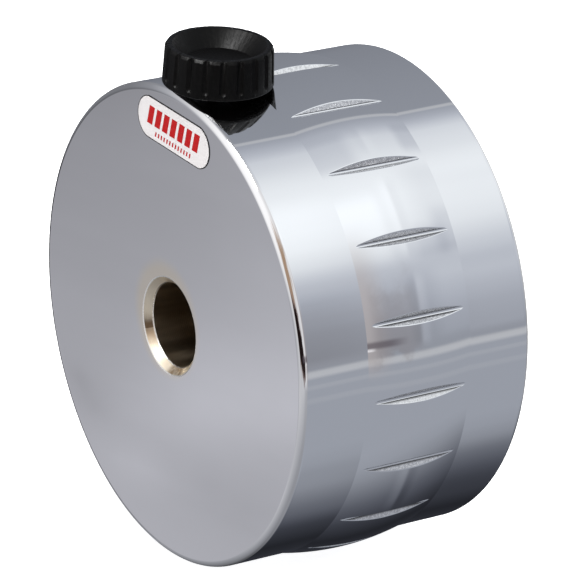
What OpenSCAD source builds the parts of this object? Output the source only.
// Counterweight for a 20 mm round bar: a turned steel disc with a through bore,
// held on the bar by a knob whose screw presses a soft pad onto it.
// Millimetres. The bore runs along Y, its middle is the origin, and the knob points up, along +Z.

/* [Weight body] */
// Diameter of the plain bands at the front and the rear
body_d = 115; // [114:1:130]
// Length of the body along the bore
body_len = 62.5; // [58:0.5:70]
// Radius of the round on the outer edge of both faces
edge_round = 1.75; // [1:0.25:2.5]

/* [Raised grip band] */
// Length of the raised band in the middle of the rim
band_len = 28; // [20:1:30]
// How far the crown of the band stands above the plain bands
band_rise = 1.65; // [1:0.05:2.5]
// Shift of the band towards the rear
band_shift = 0.45; // [0:0.05:1]
// Number of grip notches around the band
notch_count = 20; // [12:1:24]
// Height of the straight notch floor above the plain bands
notch_floor = 0.35; // [0.2:0.05:0.6]

/* [Bar bore] */
// Diameter of the bore for the 20 mm bar
bore_d = 20.2; // [20.1:0.1:20.4]
// 45 degree chamfer at both mouths of the bore
bore_chamfer = 1.75; // [0.5:0.25:2.5]

/* [Clamp screw] */
// Distance of the screw's axis in front of the body's middle
screw_offset = 20.8; // [20:0.1:22]
// Diameter of the screw's shank
screw_d = 8; // [8:1:8]
// Radial play of the screw in its hole
screw_play = 0.05; // [0.02:0.01:0.1]

/* [Knob] */
// Gap between the plain band and the underside of the knob
knob_gap = 1.5; // [1.4:0.1:3]
// Height of the knob
knob_h = 9.4; // [9:0.05:12]
// Diameter at the foot of the knob
knob_foot_d = 25.8; // [24:0.1:28]
// Diameter just below the top chamfer
knob_top_d = 25.1; // [23.5:0.1:27]
// Width of the chamfer round the top
knob_chamfer_w = 0.5; // [0.3:0.05:0.8]
// Height of the chamfer round the top
knob_chamfer_h = 0.7; // [0.4:0.05:1]
// Diameter of the mouth of the dished top
dish_mouth_d = 21.8; // [20:0.1:22.5]
// Diameter of the floor of the dished top
dish_floor_d = 15.5; // [14:0.1:17]
// Depth of the dished top
dish_depth = 3.8; // [3:0.1:4]
// Number of grip flutes
flute_count = 20; // [16:1:24]
// Radius of the round flutes
flute_r = 1.05; // [0.8:0.05:1.3]
// Depth of the flutes
flute_depth = 0.62; // [0.4:0.02:0.8]
// Height of the closed lower end of the flutes above the foot
flute_start = 1.1; // [0.8:0.1:2]

/* [Label] */
// Length of the oval label on the front face
label_len = 31.6; // [26:0.1:32]
// Width of the label, which is also the diameter of its round ends
label_w = 10.2; // [8:0.1:10.5]
// Height of the label's middle above the bore's axis
label_z = 48.1; // [45:0.1:48.5]
// Sideways shift of the label's middle
label_x = -1.5; // [-2:0.1:2]
// Thickness of the label
label_t = 0.15; // [0.1:0.05:0.3]

/* [Hidden] */
$fn = 96;
over = 1;
body_r = body_d / 2;
bore_r = bore_d / 2;
half_len = body_len / 2;
screw_r = screw_d / 2;

// Arc through both edges of the raised band, seen in the profile
band_half = band_len / 2;
band_arc_r = (band_half * band_half + band_rise * band_rise) / (2 * band_rise);

// The knob, from its foot to the floor of its dish
knob_z = body_r + knob_gap;
foot_round = 0.5;
knob_shoulder = knob_h - knob_chamfer_h;
wall_lean = atan((knob_foot_d - knob_top_d) / 2 / (knob_shoulder - foot_round));

// Brass hub moulded into the knob, with a waist that keeps it from pulling out
insert_r = 5;
insert_h = 4.6;
insert_waist_r = 4.5;
insert_waist = [1.7, 2.9];

// Captive pad at the screw's tip: its sole is just inside the bore's wall
pad_r = 3.2;
pad_sole_z = bore_r + 0.05;
pad_h = 5.9;
pad_floor = 2.1;
pad_edge = 0.4;
neck_r = 2.3;
neck_play = 0.05;
tip_gap = 0.1;
shoulder_gap = 0.4;

// Snap ring that holds the pad on the screw's neck
ring_h = 0.6;
ring_r = [1.95, 2.75];
ring_z = 3.8;
ring_slit = 1.2;
ring_groove_r = 1.6;
ring_groove_play = 0.3;

stud_foot_z = pad_sole_z + pad_h + shoulder_gap;
neck_foot_z = pad_sole_z + pad_floor + tip_gap;

// Turns a shape that was drawn around Z so that its height runs along Y
module along_bore() {
    rotate([-90, 0, 0]) children();
}

// Puts a shape on the screw's axis at height z
module on_screw(z) {
    translate([0, -screw_offset, z]) children();
}

// Half profile of the plain disc, with both outer edges rounded
module disc_profile() {
    translate([bore_r, -half_len])
        square([body_r - edge_round - bore_r, body_len]);
    translate([bore_r, edge_round - half_len])
        square([body_r - bore_r, body_len - 2 * edge_round]);
    for (side = [-1, 1])
        translate([body_r - edge_round, side * (half_len - edge_round)])
            circle(r = edge_round);
}

// Half profile of the raised band: a slice of one large circle
module band_profile() {
    translate([0, band_shift])
        intersection() {
            translate([body_r + band_rise - band_arc_r, 0])
                circle(r = band_arc_r, $fn = 360);
            translate([bore_r, -band_half])
                square([body_r + band_rise - bore_r + over, band_len]);
        }
}

// Corner that the chamfer takes off the half profile at one mouth of the bore
module bore_chamfer_profile() {
    reach = bore_chamfer + over;
    translate([bore_r - over, half_len + over])
        polygon([[0, 0], [0, -reach - over], [reach + over, 0]]);
}

// One V-shaped notch with a right angle between its flanks, open towards +Z
module notch_cutter() {
    side = band_rise * 3;
    translate([0, -band_len, body_r + notch_floor])
        rotate([0, -45, 0])
            cube([side, 2 * band_len, side]);
}

module weight_body() {
    color("gainsboro")
        difference() {
            along_bore()
                rotate_extrude($fn = 360)
                    difference() {
                        union() {
                            disc_profile();
                            band_profile();
                        }
                        for (side = [0, 1])
                            mirror([0, side])
                                bore_chamfer_profile();
                    }
            for (i = [0 : notch_count - 1])
                rotate([0, i * 360 / notch_count, 0])
                    notch_cutter();
            on_screw(0)
                cylinder(r = screw_r + screw_play, h = body_r + band_rise + over);
        }
}

module face_label() {
    color("white")
        translate([label_x, -half_len, label_z])
            rotate([90, 0, 0])
                linear_extrude(label_t) {
                    square([label_len - label_w, label_w], center = true);
                    for (side = [-1, 1])
                        translate([side * (label_len - label_w) / 2, 0])
                            circle(d = label_w);
                }
}

// Half profile of the brass hub; the knob's pocket has the same shape
module insert_profile() {
    polygon([
        [0, 0], [insert_r, 0], [insert_r, insert_waist[0]],
        [insert_waist_r, insert_waist[0]], [insert_waist_r, insert_waist[1]],
        [insert_r, insert_waist[1]], [insert_r, insert_h], [0, insert_h]
    ]);
}

// Half profile of the knob without its flutes
module knob_profile() {
    foot_r = knob_foot_d / 2;
    top_r = knob_top_d / 2;
    difference() {
        union() {
            polygon([
                [0, 0], [foot_r - foot_round, 0], [foot_r, foot_round],
                [top_r, knob_shoulder], [top_r - knob_chamfer_w, knob_h], [0, knob_h]
            ]);
            translate([foot_r - foot_round, foot_round])
                circle(r = foot_round);
        }
        polygon([
            [0, knob_h - dish_depth], [dish_floor_d / 2, knob_h - dish_depth],
            [dish_mouth_d / 2, knob_h], [dish_mouth_d / 2, knob_h + over], [0, knob_h + over]
        ]);
        insert_profile();
    }
}

// One flute: a round groove along the leaning side, with a ball-shaped lower end
module flute_cutter() {
    foot = flute_start + flute_r;
    translate([knob_foot_d / 2 - flute_depth + flute_r, 0, foot])
        rotate([0, -wall_lean, 0]) {
            cylinder(r = flute_r, h = knob_h);
            sphere(r = flute_r);
        }
}

module knob_grip() {
    pitch = 360 / flute_count;
    color("black")
        on_screw(knob_z)
            difference() {
                rotate_extrude()
                    knob_profile();
                for (i = [0 : flute_count - 1])
                    rotate([0, 0, (i + 0.5) * pitch])
                        flute_cutter();
            }
}

module knob_insert() {
    color("goldenrod")
        on_screw(knob_z)
            difference() {
                rotate_extrude()
                    insert_profile();
                translate([0, 0, -over])
                    cylinder(r = screw_r, h = insert_h + 2 * over);
            }
}

// Steel stud: threaded shank, then a plain neck with a groove for the snap ring
module clamp_stud() {
    tip_chamfer = 0.5;
    groove_foot = pad_sole_z + ring_z - ring_groove_play;
    groove_h = ring_h + 2 * ring_groove_play;
    stud_top = knob_z + insert_h;
    color("silver")
        on_screw(0)
            rotate_extrude()
                difference() {
                    polygon([
                        [0, neck_foot_z], [neck_r - tip_chamfer, neck_foot_z],
                        [neck_r, neck_foot_z + tip_chamfer], [neck_r, stud_foot_z],
                        [screw_r - tip_chamfer, stud_foot_z],
                        [screw_r, stud_foot_z + tip_chamfer], [screw_r, stud_top], [0, stud_top]
                    ]);
                    translate([ring_groove_r, groove_foot])
                        square([neck_r, groove_h]);
                }
}

// Brass pad: a closed sole below, and a blind hole with a ring groove above
module thrust_pad() {
    color("darkgoldenrod")
        on_screw(pad_sole_z)
            rotate_extrude()
                difference() {
                    polygon([
                        [0, 0], [pad_r - pad_edge, 0], [pad_r, pad_edge],
                        [pad_r, pad_h], [0, pad_h]
                    ]);
                    translate([0, pad_floor])
                        square([neck_r + neck_play, pad_h]);
                    translate([0, ring_z])
                        square([ring_r[1], ring_h]);
                }
}

module pad_snap_ring() {
    color("dimgray")
        on_screw(pad_sole_z + ring_z)
            difference() {
                cylinder(r = ring_r[1], h = ring_h);
                translate([0, 0, -over])
                    cylinder(r = ring_r[0], h = ring_h + 2 * over);
                translate([0, -ring_slit / 2, -over])
                    cube([ring_r[1] + over, ring_slit, ring_h + 2 * over]);
            }
}

weight_body();
face_label();
knob_grip();
knob_insert();
clamp_stud();
thrust_pad();
pad_snap_ring();
